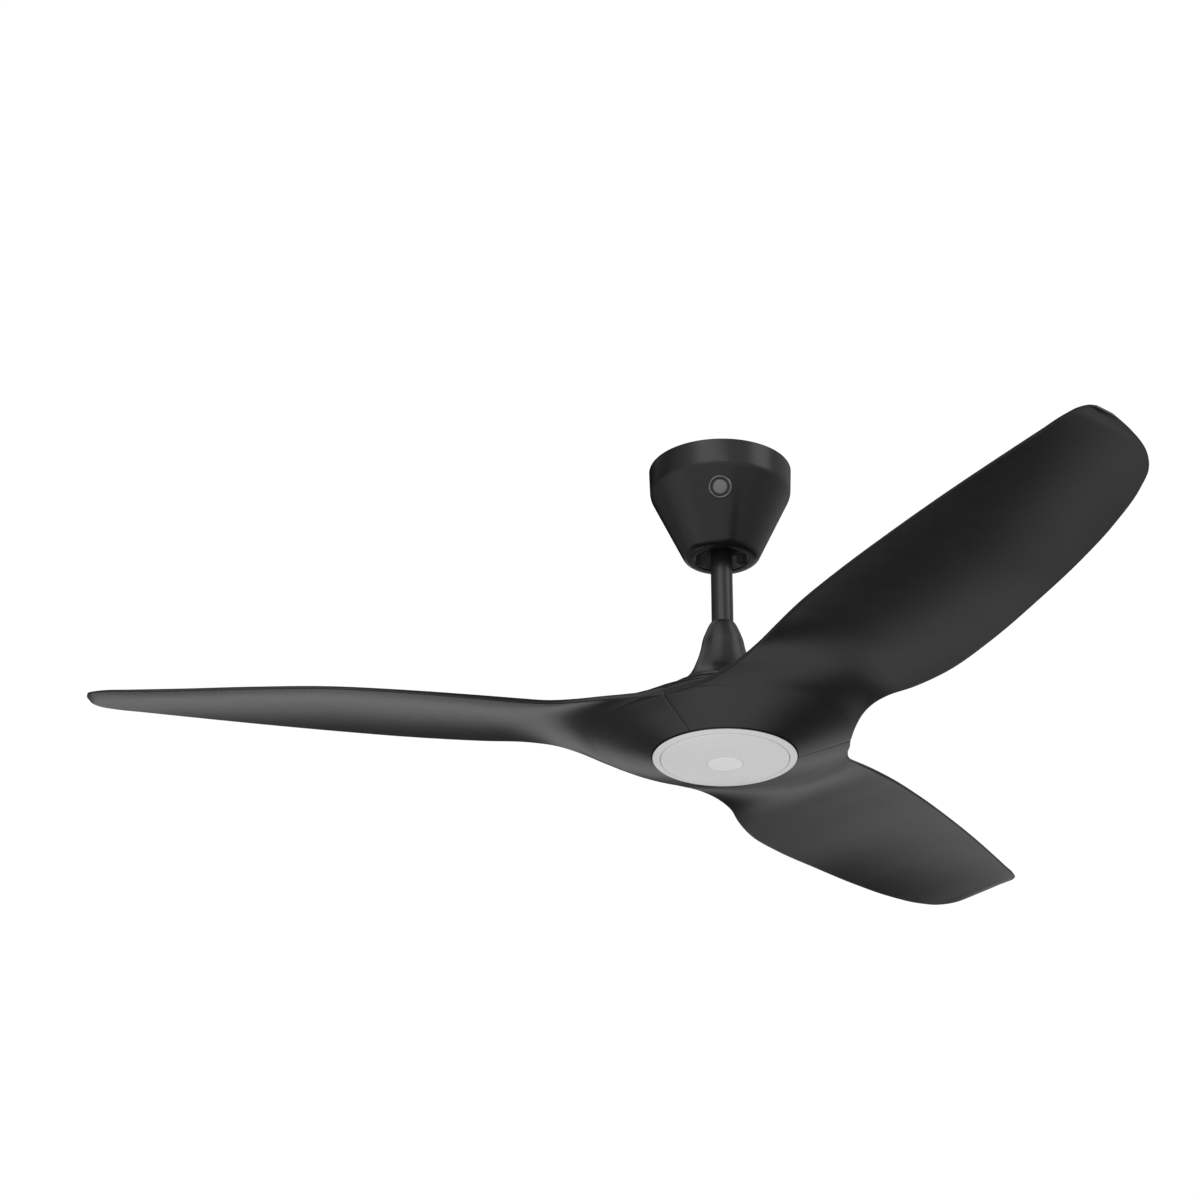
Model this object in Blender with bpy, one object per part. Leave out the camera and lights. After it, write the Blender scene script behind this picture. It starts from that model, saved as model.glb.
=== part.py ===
"""Ceiling fan with light: three airfoils on a direct-drive motor, hung from a ball in a ceiling bracket.

The origin is the centre of the ceiling plane, +Z is up and the fan turns about Z. Lengths in the tables and
constants are millimetres and are turned into metres where a mesh is made. Heights of the canopy and the hanger
are measured from the ceiling, and heights of the motor, the airfoils and the light from the light's rim plane.
"""
import math

import bmesh
import bpy
from mathutils import Matrix, Vector

MM = 0.001

# overall layout
RIM_PLANE = -330.0
BALL_HEIGHT = -62.0
AIRFOIL_COUNT = 3
FIRST_AIRFOIL_ANGLE = math.radians(62.8)
AIRFOIL_PITCH_ANGLE = math.radians(120.0)
GAP = 0.3

# canopy and ceiling bracket
CANOPY_RADIUS = 75.6
CANOPY_WALL = 1.8
CANOPY_MOUTH_RADIUS = 28.6
BRACKET_PLATE = (118.0, 40.0, 2.6)
CEILING_SLOT_SPACING = 88.9
CEILING_SLOT = (14.0, 6.0)
STRAP_X = 35.5
STRAP_WIDTH = 30.0
STRAP_THICKNESS = 3.0
EAR_X = 69.5
CANOPY_SCREW_HEIGHT = -11.0
BADGE_RADIUS = 12.0
BADGE_THICKNESS = 2.0
BADGE_HEIGHT = -51.0
BADGE_STANDOFF = 2.6

# hanger ball, its liner and the dish in the bracket
BALL_RADIUS = 23.7
LINER_INNER_RADIUS = BALL_RADIUS + GAP
LINER_OUTER_RADIUS = 26.2
LINER_FOOT_ANGLE = -41.0
DISH_INNER_RADIUS = LINER_OUTER_RADIUS + GAP
DISH_OUTER_RADIUS = 29.0
DISH_FOOT_ANGLE = -42.0
SKIRT_RADII = (22.8, 27.2)
SKIRT_FOOT = -88.0
LUG_REACH = (26.6, 34.0)
LUG_WIDTH = 8.0
LUG_FOOT = -97.5

# downrod, coupler and shaft
ROD_RADIUS = 11.4
ROD_BORE = 9.4
ROD_TOP = -36.0
ROD_FOOT = 98.6
PIN_RADIUS = 3.0
CLEVIS_PIN_HEIGHT = 118.0
SHAFT_RADIUS = 9.0
SHAFT_BORE = 6.0
LEAD_RADIUS = 2.2
LEAD_OFFSET = 6.5

# motor
STATOR_SLOTS = 12
STATOR_RADIUS = 58.2
STATOR_BASE = 27.5
STATOR_TOP = 39.5
FLANGE_RADIUS = 101.6
FLANGE_BOTTOM = 16.0
FLANGE_TOP = 19.5
BEARING_HEIGHTS = {"lower": 18.0, "upper": 43.5}
BEARING_WIDTH = 7.0
BEARING_PITCH_RADIUS = 14.6
BEARING_BALL_RADIUS = 2.0
BEARING_BALLS = 6

# airfoil roots, which make the hub around the light
HUB_BORE = 74.7
HUB_HALF_ANGLE = math.radians(59.87)
POCKET_RADIUS = 102.4
POCKET_FLOOR = 15.7
AIRFOIL_SCREW_RADIUS = 90.0
AIRFOIL_SCREW_ANGLES = (math.radians(-30.0), math.radians(30.0))

# light
RING_RADIUS = 74.0
LENS_RADIUS = 65.9
FACE_RIM = -1.1
FACE_MIDDLE = -8.2
WINDOW_RADIUS = 18.2
LED_COUNT = 9
LED_CIRCLE = 40.0
BOARD_SCREW_RADIUS = 56.0

# segments around a turned piece
FINE = 36
MEDIUM = 24
COARSE = 16
SMALL = 8


def clear_scene():
    """Remove every object, so the script can be run again in the same file."""
    for item in list(bpy.data.objects):
        bpy.data.objects.remove(item, do_unlink=True)


def make_material(name, colour, roughness, metallic):
    """A Principled material of one colour."""
    material = bpy.data.materials.new(name)
    material.use_nodes = True
    shader = material.node_tree.nodes["Principled BSDF"]
    shader.inputs["Base Color"].default_value = (*colour, 1.0)
    shader.inputs["Roughness"].default_value = roughness
    shader.inputs["Metallic"].default_value = metallic
    return material


clear_scene()
BLACK_PAINT = make_material("black_paint", (0.026, 0.026, 0.027), 0.48, 0.0)
BLACK_PLASTIC = make_material("black_plastic", (0.03, 0.03, 0.031), 0.55, 0.0)
BADGE_METAL = make_material("badge_metal", (0.35, 0.35, 0.36), 0.35, 0.9)
ZINC_STEEL = make_material("zinc_steel", (0.55, 0.56, 0.58), 0.35, 1.0)
BRIGHT_STEEL = make_material("bright_steel", (0.62, 0.62, 0.64), 0.25, 1.0)
CAST_ALLOY = make_material("cast_alloy", (0.5, 0.51, 0.53), 0.45, 0.9)
NYLON = make_material("nylon", (0.75, 0.74, 0.7), 0.5, 0.0)
LAMINATION = make_material("lamination_steel", (0.22, 0.22, 0.24), 0.5, 0.8)
COPPER = make_material("copper_wire", (0.62, 0.26, 0.1), 0.35, 0.9)
MAGNET = make_material("magnet", (0.08, 0.08, 0.09), 0.4, 0.5)
BOARD_GREEN = make_material("board_green", (0.03, 0.2, 0.09), 0.45, 0.0)
BOARD_WHITE = make_material("board_white", (0.8, 0.8, 0.78), 0.4, 0.0)
LEAD_SLEEVE = make_material("lead_sleeve", (0.05, 0.05, 0.05), 0.6, 0.0)
RING_WHITE = make_material("ring_white", (0.62, 0.62, 0.62), 0.35, 0.0)
LENS_WHITE = make_material("lens_white", (0.68, 0.68, 0.68), 0.3, 0.0)


def add_piece(name, mesh, material, height=0.0):
    """Link a piece made in millimetres above the given height, as metres."""
    piece = bpy.data.objects.new(name, mesh)
    if not mesh.materials:
        mesh.materials.append(material)
    bpy.context.scene.collection.objects.link(piece)
    piece.location.z = height * MM
    return piece


def finish_mesh(name, shape):
    """Turn a bmesh in millimetres into a metre mesh with outward faces, smooth where it is round."""
    bmesh.ops.recalc_face_normals(shape, faces=shape.faces)
    bmesh.ops.scale(shape, vec=(MM, MM, MM), verts=shape.verts)
    mesh = bpy.data.meshes.new(name)
    shape.to_mesh(mesh)
    shape.free()
    mesh.shade_smooth()
    mesh.set_sharp_from_angle(angle=math.radians(35.0))
    return mesh


def turned_shape(profile, segments):
    """A closed outline of (radius, height) points turned about Z."""
    shape = bmesh.new()
    rings = []
    for radius, height in profile:
        if radius == 0.0:
            rings.append([shape.verts.new((0.0, 0.0, height))] * segments)
            continue
        angles = [2.0 * math.pi * step / segments for step in range(segments)]
        rings.append([shape.verts.new((radius * math.cos(a), radius * math.sin(a), height)) for a in angles])
    for first, second in zip(rings, rings[1:] + rings[:1]):
        for step in range(segments):
            after = (step + 1) % segments
            corners = list(dict.fromkeys((first[step], first[after], second[after], second[step])))
            if len(corners) > 2:
                shape.faces.new(corners)
    return shape


def turned(name, profile, material, height=0.0, segments=MEDIUM):
    """A turned piece."""
    return add_piece(name, finish_mesh(name, turned_shape(profile, segments)), material, height)


def arc(centre_height, radius, start, end, steps):
    """Points of a circle about the axis, as (radius, height), between two angles above the horizontal."""
    points = []
    for step in range(steps + 1):
        angle = math.radians(start + (end - start) * step / steps)
        points.append((radius * math.cos(angle), centre_height + radius * math.sin(angle)))
    return points


def box_shape(low, high):
    """A box between two corners."""
    shape = bmesh.new()
    size = [b - a for a, b in zip(low, high)]
    middle = [(a + b) / 2.0 for a, b in zip(low, high)]
    bmesh.ops.create_cube(shape, size=1.0)
    bmesh.ops.scale(shape, vec=size, verts=shape.verts)
    bmesh.ops.translate(shape, vec=middle, verts=shape.verts)
    return shape


def bar_shape(radius, start, end, segments=SMALL):
    """A round bar between two points."""
    start = Vector(start)
    end = Vector(end)
    along = end - start
    place = Matrix.Translation((start + end) / 2.0) @ along.to_track_quat("Z", "Y").to_matrix().to_4x4()
    shape = bmesh.new()
    bmesh.ops.create_cone(shape, cap_ends=True, segments=segments, radius1=radius, radius2=radius,
                          depth=along.length, matrix=place)
    return shape


def combine(piece, shapes, operation):
    """Join millimetre shapes to a piece, or cut them from it, and keep the result as its mesh."""
    for number, shape in enumerate(shapes):
        tool = add_piece("tool", finish_mesh("tool", shape), BLACK_PLASTIC, piece.location.z / MM)
        tool.hide_render = True
        tool.display_type = "WIRE"
        step = piece.modifiers.new("step_%d" % number, "BOOLEAN")
        step.operation = operation
        step.solver = "EXACT"
        step.object = tool
    bpy.context.view_layer.update()
    result = bpy.data.meshes.new_from_object(piece.evaluated_get(bpy.context.evaluated_depsgraph_get()))
    material = piece.data.materials[0]
    for step in list(piece.modifiers):
        bpy.data.objects.remove(step.object, do_unlink=True)
        piece.modifiers.remove(step)
    piece.data = result
    result.materials.clear()
    result.materials.append(material)
    return piece


def screw(name, place, material=ZINC_STEEL, head=(4.2, 2.8), shank=(2.2, 11.0)):
    """A pan-head screw whose head stands on the place's origin and whose shank goes down its -Z."""
    head_radius, head_height = head
    shank_radius, shank_length = shank
    outline = [(0.0, -shank_length), (shank_radius, -shank_length), (shank_radius, 0.0), (head_radius, 0.0),
               (head_radius, head_height * 0.6), (head_radius * 0.8, head_height), (0.0, head_height)]
    piece = turned(name, outline, material, segments=SMALL)
    piece.matrix_world = place
    return piece


# ---------------------------------------------------------------- ceiling bracket, canopy and badge

def make_skirt():
    """Ring of four arms below the dish with lugs that centre the canopy's mouth, as shapes to join and to cut."""
    inner, outer = SKIRT_RADII
    joins = [turned_shape([(inner, SKIRT_FOOT), (outer, SKIRT_FOOT), (outer, -70.5), (inner, -78.5)], MEDIUM)]
    windows = []
    for number in range(4):
        turn = Matrix.Rotation(math.pi / 2 * number, 4, "Z")
        window = box_shape((inner - 4.0, -LUG_WIDTH, SKIRT_FOOT - 2.0), (outer + 4.0, LUG_WIDTH, -82.0))
        lug = box_shape((LUG_REACH[0], -LUG_WIDTH / 2, LUG_FOOT), (LUG_REACH[1], LUG_WIDTH / 2, -70.0))
        bmesh.ops.transform(window, matrix=turn, verts=window.verts)
        bmesh.ops.transform(lug, matrix=Matrix.Rotation(math.pi / 4, 4, "Z") @ turn, verts=lug.verts)
        windows.append(window)
        joins.append(lug)
    return joins, windows


def make_bracket():
    """Plate against the ceiling, two straps and the dish that carries the ball, pressed and welded into one."""
    length, width, thickness = BRACKET_PLATE
    plate = finish_mesh("ceiling_bracket", box_shape((-length / 2, -width / 2, -thickness),
                                                     (length / 2, width / 2, 0.0)))
    bracket = add_piece("ceiling_bracket", plate, BLACK_PAINT)
    dish_top = BALL_HEIGHT + DISH_OUTER_RADIUS * math.sin(math.radians(-10.0))
    inner = arc(BALL_HEIGHT, DISH_INNER_RADIUS, DISH_FOOT_ANGLE, -10.0, 4)
    outer = arc(BALL_HEIGHT, DISH_OUTER_RADIUS, -10.0, DISH_FOOT_ANGLE, 4)
    skirt, cuts = make_skirt()
    joins = [turned_shape(inner + outer, MEDIUM)] + skirt
    for side in (-1, 1):
        strap = sorted((side * (STRAP_X - STRAP_THICKNESS / 2), side * (STRAP_X + STRAP_THICKNESS / 2)))
        joins.append(box_shape((strap[0], -STRAP_WIDTH / 2, dish_top - 3.0),
                               (strap[1], STRAP_WIDTH / 2, -thickness / 2)))
        foot = sorted((side * 27.6, side * STRAP_X))
        joins.append(box_shape((foot[0], -STRAP_WIDTH / 3, dish_top - 3.0),
                               (foot[1], STRAP_WIDTH / 3, dish_top)))
        reach = sorted((side * (length / 2 - 1.0), side * (EAR_X + 1.2)))
        joins.append(box_shape((reach[0], -8.0, -thickness), (reach[1], 8.0, 0.0)))
        ear = sorted((side * (EAR_X - 1.2), side * (EAR_X + 1.2)))
        joins.append(box_shape((ear[0], -8.0, -19.0), (ear[1], 8.0, -thickness / 2)))
    combine(bracket, joins, "UNION")
    slot_length, slot_width = CEILING_SLOT
    for side in (-1, 1):
        middle = side * CEILING_SLOT_SPACING / 2
        cuts.append(box_shape((middle - slot_length / 2, -slot_width / 2, -5.0),
                              (middle + slot_length / 2, slot_width / 2, 5.0)))
        cuts.append(bar_shape(2.3, (side * 60.0, 0.0, CANOPY_SCREW_HEIGHT),
                              (side * 80.0, 0.0, CANOPY_SCREW_HEIGHT)))
    return combine(bracket, cuts, "DIFFERENCE")


def canopy_outer():
    """The canopy's outside from its rim to its mouth: a straight band, a shoulder, a cone and a round foot."""
    return [(CANOPY_RADIUS, 0.0), (74.8, -23.0), (74.2, -27.2), (72.2, -32.2), (44.4, -92.0), (41.4, -97.6),
            (36.8, -102.0), (30.0, -104.3)]


def canopy_inner():
    """The canopy's inside from its mouth back to its rim."""
    return [(CANOPY_MOUTH_RADIUS, -103.4), (29.0, -102.4), (36.0, -100.0), (41.6, -92.4), (70.3, -31.8),
            (72.5, -26.4), (CANOPY_RADIUS - CANOPY_WALL, 0.0)]


def make_canopy():
    """Spun cone that hides the bracket, with a countersunk hole on each side."""
    canopy = turned("canopy", canopy_outer() + canopy_inner(), BLACK_PAINT, segments=FINE)
    holes = []
    for side in (-1, 1):
        hole = turned_shape([(0.0, -8.0), (2.5, -8.0), (2.5, -2.0), (3.9, -0.4), (3.9, 4.0), (0.0, 4.0)], COARSE)
        turn = Matrix.Rotation(side * math.pi / 2, 4, "Y")
        place = Matrix.Translation((side * (CANOPY_RADIUS - 0.1), 0.0, CANOPY_SCREW_HEIGHT)) @ turn
        bmesh.ops.transform(hole, matrix=place, verts=hole.verts)
        holes.append(hole)
    return combine(canopy, holes, "DIFFERENCE")


def make_canopy_screws():
    """Countersunk screws that hold the canopy to the bracket's ears."""
    for number, side in ((1, -1), (2, 1)):
        outline = [(0.0, -12.0), (2.0, -12.0), (2.0, -2.2), (3.3, -0.8), (3.3, -0.5), (0.0, -0.5)]
        piece = turned("canopy_screw_%d" % number, outline, BLACK_PAINT, segments=SMALL)
        turn = Matrix.Rotation(side * math.pi / 2, 4, "Y")
        seat = Vector((side * (CANOPY_RADIUS - 0.1), 0.0, CANOPY_SCREW_HEIGHT))
        piece.matrix_world = Matrix.Translation(seat * MM) @ turn


def make_badge():
    """Plain round badge on the front of the canopy's cone, with nothing on it."""
    top, foot = canopy_outer()[3:5]
    slope = math.atan2(top[0] - foot[0], top[1] - foot[1])
    radius = top[0] - (top[1] - BADGE_HEIGHT) * math.tan(slope)
    outline = [(0.0, 0.0), (BADGE_RADIUS - 0.8, 0.0), (BADGE_RADIUS, 0.6), (BADGE_RADIUS, BADGE_THICKNESS),
               (0.0, BADGE_THICKNESS)]
    badge = turned("canopy_badge", [(r, -z) for r, z in outline][::-1], BADGE_METAL, segments=MEDIUM)
    facing = Matrix.Rotation(math.pi / 2 + slope, 4, "X")
    outward = Vector((0.0, -math.cos(slope), -math.sin(slope)))
    middle = Vector((0.0, -radius, BADGE_HEIGHT)) + outward * BADGE_STANDOFF
    badge.matrix_world = Matrix.Translation(middle * MM) @ facing


# ---------------------------------------------------------------- ball, downrod and coupler

def make_hanger():
    """Liner, ball, cross pin and downrod."""
    liner = arc(BALL_HEIGHT, LINER_INNER_RADIUS, LINER_FOOT_ANGLE, -8.0, 4)
    liner += arc(BALL_HEIGHT, LINER_OUTER_RADIUS, -8.0, LINER_FOOT_ANGLE, 4)
    turned("ball_liner", liner, NYLON)
    bore = ROD_RADIUS + GAP
    ball = [(bore, BALL_HEIGHT + 13.6), (bore, BALL_HEIGHT - 19.4)]
    ball += arc(BALL_HEIGHT, BALL_RADIUS, -55.0, 35.0, 7)
    turned("hanger_ball", ball, CAST_ALLOY)
    pin_height = BALL_HEIGHT + 13.6 + GAP + PIN_RADIUS
    pin = bar_shape(PIN_RADIUS, (-17.0, 0.0, pin_height), (17.0, 0.0, pin_height), 12)
    add_piece("ball_pin", finish_mesh("ball_pin", pin), BRIGHT_STEEL)
    foot = RIM_PLANE + ROD_FOOT
    tube = [(ROD_BORE, ROD_TOP), (ROD_BORE, foot), (ROD_RADIUS, foot), (ROD_RADIUS, ROD_TOP)]
    rod = turned("downrod", tube, BLACK_PAINT)
    holes = [bar_shape(PIN_RADIUS + GAP, (-20.0, 0.0, pin_height), (20.0, 0.0, pin_height), 12)]
    clevis = RIM_PLANE + CLEVIS_PIN_HEIGHT
    holes.append(bar_shape(PIN_RADIUS + GAP, (-20.0, 0.0, clevis), (20.0, 0.0, clevis), 12))
    combine(rod, holes, "DIFFERENCE")


def make_coupler():
    """Coupler between rod and shaft, with its clevis pin, hairpin clip and set screw."""
    outline = [(SHAFT_RADIUS + GAP, 60.0), (31.0, 60.0), (31.0, 64.2), (20.5, 64.2), (17.5, 68.0), (17.5, 128.0),
               (ROD_RADIUS + GAP, 128.0), (ROD_RADIUS + GAP, 98.2), (SHAFT_RADIUS + GAP, 98.2)]
    coupler = turned("rod_coupler", outline, CAST_ALLOY, RIM_PLANE)
    pin_hole = bar_shape(PIN_RADIUS + GAP, (-30.0, 0.0, CLEVIS_PIN_HEIGHT), (30.0, 0.0, CLEVIS_PIN_HEIGHT), 12)
    screw_height = 105.0
    screw_hole = bar_shape(2.6, (0.0, -30.0, screw_height), (0.0, 0.0, screw_height))
    combine(coupler, [pin_hole, screw_hole], "DIFFERENCE")
    grub = bar_shape(2.2, (0.0, -20.5, screw_height), (0.0, -ROD_RADIUS - GAP, screw_height))
    add_piece("rod_set_screw", finish_mesh("rod_set_screw", grub), BRIGHT_STEEL, RIM_PLANE)

    outline = [(0.0, -19.8), (4.2, -19.8), (4.2, -18.0), (PIN_RADIUS, -18.0), (PIN_RADIUS, 20.2), (0.0, 20.2)]
    pin = turned("clevis_pin", outline, BRIGHT_STEEL, segments=12)
    pin.matrix_world = (Matrix.Translation((0.0, 0.0, (RIM_PLANE + CLEVIS_PIN_HEIGHT) * MM))
                        @ Matrix.Rotation(math.pi / 2, 4, "Y"))
    across = bar_shape(1.0, (-6.0, 0.0, 18.9), (6.0, 0.0, 18.9), 8)
    combine_in_place(pin, across)

    wire = bpy.data.curves.new("hairpin_clip", "CURVE")
    wire.dimensions = "3D"
    wire.bevel_depth = 0.6 * MM
    wire.bevel_resolution = 1
    wire.render_resolution_u = 0
    wire.use_fill_caps = True
    bend = 2.3
    route = [(0.0, -5.0)]
    for step in range(7):
        angle = math.pi * step / 6
        route.append((bend - bend * math.cos(angle), 4.0 + bend * math.sin(angle)))
    route += [(2 * bend, 0.0), (2 * bend - 0.5, -4.0)]
    spline = wire.splines.new("POLY")
    spline.points.add(len(route) - 1)
    for point, (across_y, up) in zip(spline.points, route):
        point.co = (18.9 * MM, across_y * MM, (CLEVIS_PIN_HEIGHT + up) * MM, 1.0)
    wire.materials.append(ZINC_STEEL)
    add_piece("hairpin_clip", wire, ZINC_STEEL, RIM_PLANE)


def combine_in_place(piece, shape):
    """Cut one millimetre shape, given in the piece's own axes, from a turned or moved piece."""
    place = piece.matrix_world.copy()
    piece.matrix_world = Matrix.Identity(4)
    combine(piece, [shape], "DIFFERENCE")
    piece.matrix_world = place


def make_leads():
    """Sleeved leads that run down inside the rod, past its two pins, and through the hollow shaft."""
    leads = bpy.data.curves.new("motor_leads", "CURVE")
    leads.dimensions = "3D"
    leads.bevel_depth = LEAD_RADIUS * MM
    leads.bevel_resolution = 2
    leads.render_resolution_u = 0
    leads.use_fill_caps = True
    top = ROD_TOP - RIM_PLANE - 2.0
    bend_top = 108.0
    bend_foot = 92.0
    route = [(LEAD_OFFSET, top), (LEAD_OFFSET, (top + bend_top) / 2)]
    for step in range(7):
        share = step / 6
        across = LEAD_OFFSET * 0.5 * (1 + math.cos(math.pi * share))
        route.append((across, bend_top + (bend_foot - bend_top) * share))
    route += [(0.0, 60.0), (0.0, 13.6)]
    spline = leads.splines.new("POLY")
    spline.points.add(len(route) - 1)
    for point, (across_y, height) in zip(spline.points, route):
        point.co = (0.0, across_y * MM, height * MM, 1.0)
    leads.materials.append(LEAD_SLEEVE)
    add_piece("motor_leads", leads, LEAD_SLEEVE, RIM_PLANE)


# ---------------------------------------------------------------- covers over the coupler and the motor

def make_covers():
    """Trumpet-shaped bell cover and the shallow flared motor cover that it stands on."""
    outer = [(12.6, 151.0), (14.6, 148.0), (18.3, 139.5), (21.4, 130.5), (23.5, 120.0), (27.6, 107.0),
             (33.8, 93.0), (41.0, 83.6), (50.0, 75.4), (61.1, 69.3)]
    inner = [(61.0, 67.6), (48.6, 73.6), (32.2, 92.2), (21.6, 120.0), (16.4, 139.2), (11.8, 148.8), (11.8, 150.6)]
    turned("bell_cover", outer + inner, BLACK_PAINT, RIM_PLANE, FINE)
    outline = [(20.8, 64.6), (57.0, 64.6), (74.0, 55.2), (87.0, 49.4), (100.4, 44.0), (101.0, 45.8),
               (88.0, 51.4), (75.0, 57.2), (66.0, 62.4), (61.2, 66.9), (20.8, 67.2)]
    turned("motor_cover", outline, BLACK_PAINT, RIM_PLANE, FINE)


# ---------------------------------------------------------------- motor

def make_shaft():
    """Hollow shaft that stands still and carries the stator and the light."""
    outline = [(SHAFT_BORE, 6.6), (SHAFT_RADIUS, 6.6), (SHAFT_RADIUS, 97.8), (SHAFT_BORE, 97.8)]
    turned("motor_shaft", outline, BRIGHT_STEEL, RIM_PLANE, COARSE)
    nut = bmesh.new()
    bmesh.ops.create_cone(nut, cap_ends=True, segments=6, radius1=14.0, radius2=14.0, depth=3.6,
                          matrix=Matrix.Translation((0.0, 0.0, 13.6)))
    piece = add_piece("shaft_nut", finish_mesh("shaft_nut", nut), ZINC_STEEL, RIM_PLANE)
    combine(piece, [bar_shape(SHAFT_RADIUS + GAP, (0.0, 0.0, 5.0), (0.0, 0.0, 20.0), COARSE)], "DIFFERENCE")


def make_stator():
    """Laminated core of twelve teeth on a ring, and the windings between the teeth."""
    bore = SHAFT_RADIUS + GAP
    hub = [(bore, STATOR_BASE), (34.0, STATOR_BASE), (34.0, STATOR_TOP), (bore, STATOR_TOP)]
    core = turned("stator_core", hub, LAMINATION, RIM_PLANE, MEDIUM)
    teeth = []
    for slot in range(STATOR_SLOTS):
        turn = Matrix.Rotation(2 * math.pi * slot / STATOR_SLOTS, 4, "Z")
        tooth = bmesh.new()
        tip = math.radians(12.0)
        outline = [(33.0, -4.2), (53.5, -4.2), (55.6, -55.6 * math.tan(tip)),
                   (STATOR_RADIUS * math.cos(tip), -STATOR_RADIUS * math.sin(tip)), (STATOR_RADIUS, 0.0),
                   (STATOR_RADIUS * math.cos(tip), STATOR_RADIUS * math.sin(tip)), (55.6, 55.6 * math.tan(tip)),
                   (53.5, 4.2), (33.0, 4.2)]
        bottom = tooth.faces.new([tooth.verts.new((x, y, STATOR_BASE)) for x, y in outline])
        grown = bmesh.ops.extrude_face_region(tooth, geom=[bottom])
        raised = [item for item in grown["geom"] if isinstance(item, bmesh.types.BMVert)]
        bmesh.ops.translate(tooth, vec=(0.0, 0.0, STATOR_TOP - STATOR_BASE), verts=raised)
        bmesh.ops.transform(tooth, matrix=turn, verts=tooth.verts)
        teeth.append(tooth)
    combine(core, teeth, "UNION")

    low = [(36.0, 23.6), (51.0, 23.6), (52.5, 25.2), (52.5, STATOR_BASE - GAP), (36.0, STATOR_BASE - GAP)]
    high = [(36.0, STATOR_TOP + GAP), (52.5, STATOR_TOP + GAP), (52.5, 41.0), (51.0, 42.3), (36.0, 42.3)]
    winding = turned("stator_windings", low, COPPER, RIM_PLANE, MEDIUM)
    joins = [turned_shape(high, MEDIUM)]
    for slot in range(STATOR_SLOTS):
        turn = Matrix.Rotation(2 * math.pi * (slot + 0.5) / STATOR_SLOTS, 4, "Z")
        side = box_shape((38.0, -3.4, 25.0), (50.0, 3.4, 41.5))
        bmesh.ops.transform(side, matrix=turn, verts=side.verts)
        joins.append(side)
    combine(winding, joins, "UNION")


def make_rotor():
    """Rotor base with its flange, lid and magnet ring."""
    seat = 20.3
    base = [(15.8, FLANGE_BOTTOM), (FLANGE_RADIUS, FLANGE_BOTTOM), (FLANGE_RADIUS, FLANGE_TOP),
            (68.0, FLANGE_TOP), (68.0, 42.6), (64.6, 42.6), (64.6, FLANGE_TOP), (25.0, FLANGE_TOP), (25.0, 25.4), (seat, 25.4),
            (seat, BEARING_HEIGHTS["lower"] - GAP), (15.8, BEARING_HEIGHTS["lower"] - GAP)]
    rotor = turned("rotor_base", base, CAST_ALLOY, RIM_PLANE, FINE)
    holes = []
    for x, y in airfoil_screw_places():
        holes.append(bar_shape(2.7, (x, y, 0.0), (x, y, 25.0)))
    combine(rotor, holes, "DIFFERENCE")
    upper = BEARING_HEIGHTS["upper"]
    lid = [(seat, upper - 0.2), (25.0, upper - 0.2), (25.0, 43.0), (68.0, 43.0), (68.0, 45.6), (25.0, 45.6),
           (25.0, upper + BEARING_WIDTH + 2.0), (15.8, upper + BEARING_WIDTH + 2.0),
           (15.8, upper + BEARING_WIDTH + GAP), (seat, upper + BEARING_WIDTH + GAP)]
    turned("rotor_lid", lid, CAST_ALLOY, RIM_PLANE)
    ring = [(59.2, 22.0), (64.3, 22.0), (64.3, 41.0), (59.2, 41.0)]
    turned("magnet_ring", ring, MAGNET, RIM_PLANE, FINE)


def make_bearing(where):
    """Deep-groove ball bearing: inner ring on the shaft, outer ring in the rotor, and the cage with its balls."""
    foot = BEARING_HEIGHTS[where]
    top = foot + BEARING_WIDTH
    middle = foot + BEARING_WIDTH / 2
    pitch = BEARING_PITCH_RADIUS
    reach = BEARING_BALL_RADIUS + GAP
    inner = [(SHAFT_RADIUS + GAP, foot), (SHAFT_RADIUS + GAP, top), (pitch - 1.5, top),
             (pitch - reach, middle + 0.6), (pitch - reach, middle - 0.6), (pitch - 1.5, foot)]
    turned(where + "_bearing_inner_ring", inner, BRIGHT_STEEL, RIM_PLANE, COARSE)
    outer = [(20.0, foot), (20.0, top), (pitch + 1.5, top), (pitch + reach, middle + 0.6),
             (pitch + reach, middle - 0.6), (pitch + 1.5, foot)]
    turned(where + "_bearing_outer_ring", outer, BRIGHT_STEEL, RIM_PLANE, COARSE)
    band = [(pitch - 0.7, middle - 1.1), (pitch + 0.7, middle - 1.1), (pitch + 0.7, middle + 1.1),
            (pitch - 0.7, middle + 1.1)]
    cage = turned(where + "_bearing_balls", band, BRIGHT_STEEL, RIM_PLANE, COARSE)
    balls = []
    for number in range(BEARING_BALLS):
        angle = 2 * math.pi * number / BEARING_BALLS
        ball = bmesh.new()
        place = Matrix.Translation((pitch * math.cos(angle), pitch * math.sin(angle), middle))
        bmesh.ops.create_uvsphere(ball, u_segments=6, v_segments=4, radius=BEARING_BALL_RADIUS, matrix=place)
        balls.append(ball)
    combine(cage, balls, "UNION")


# ---------------------------------------------------------------- airfoils

def hub_row(radius, bottom, edge, middle):
    """A row of the airfoil's root that lies on a circle about the fan's axis."""
    x = radius * math.cos(HUB_HALF_ANGLE)
    y = radius * math.sin(HUB_HALF_ANGLE)
    return (x, -y, bottom, x, y, bottom, math.degrees(HUB_HALF_ANGLE), 0.0, edge, middle)


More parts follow.
